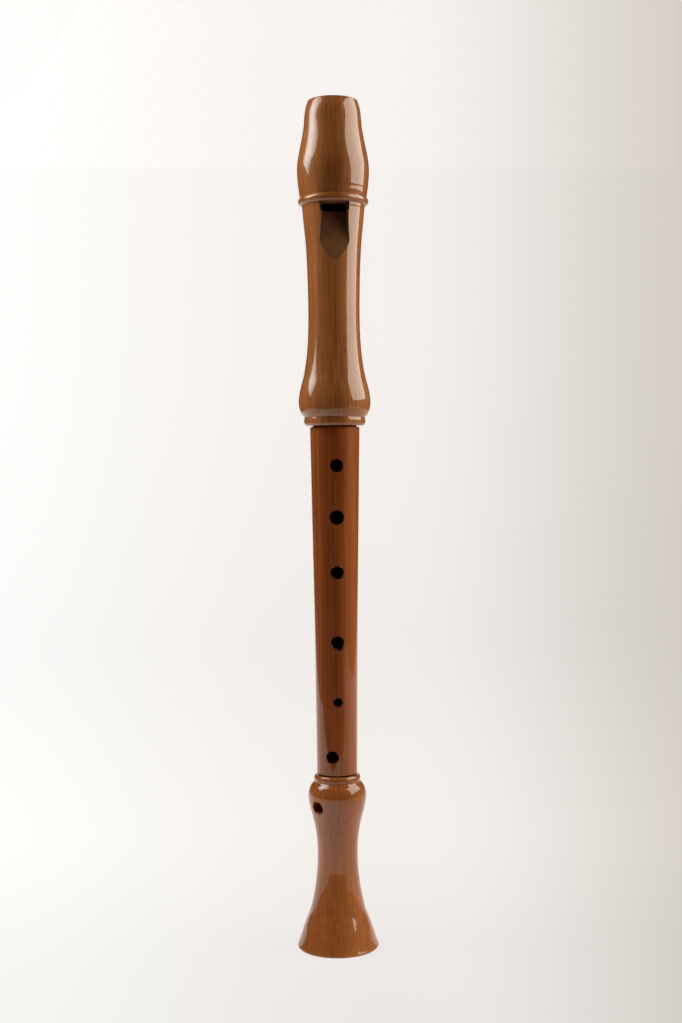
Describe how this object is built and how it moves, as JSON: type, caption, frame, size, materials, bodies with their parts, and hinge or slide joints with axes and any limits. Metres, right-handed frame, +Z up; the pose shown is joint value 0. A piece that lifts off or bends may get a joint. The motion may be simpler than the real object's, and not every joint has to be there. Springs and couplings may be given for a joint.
{
  "type": "soprano recorder",
  "caption": "Wooden soprano recorder: turned head with beak and window, slim finger-hole tube and bell foot, joined by cork-lapped tenons.",
  "frame": {"origin": "centre of the bell's flat bottom face, on the bore's axis", "axes": "+Z up along the bore, from the bell to the beak; the window and the finger holes face -Y; +X is to the right of someone who looks at the window"},
  "size_m": [0.0316, 0.0316, 0.3282],
  "materials": {
    "head_wood": "stained pearwood under clear gloss varnish",
    "middle_wood": "stained pearwood under clear gloss varnish",
    "foot_wood": "stained pearwood under clear gloss varnish",
    "block_cedar": "bare cedar, planed",
    "tenon_cork": "waxed sheet cork"
  },
  "bodies": {
    "middle": {"middle_joint": "middle_wood", "upper_tenon_cork": "tenon_cork", "lower_tenon_cork": "tenon_cork"},
    "head": {"head_joint": "head_wood"},
    "block": {"block": "block_cedar"},
    "foot": {"foot_joint": "foot_wood"}
  },
  "joints": [
    {"name": "head_slide", "type": "slide", "parent": "middle", "child": "head", "axis": [0, 0, 1], "range_m": [0, 0.03]},
    {"name": "block_slide", "type": "slide", "parent": "head", "child": "block", "axis": [0, 0, 1], "range_m": [0, 0.045]},
    {"name": "foot_turn", "type": "hinge", "parent": "middle", "child": "foot", "pos_m": [0, 0, 0.06], "axis": [0, 0, 1], "continuous": true}
  ]
}
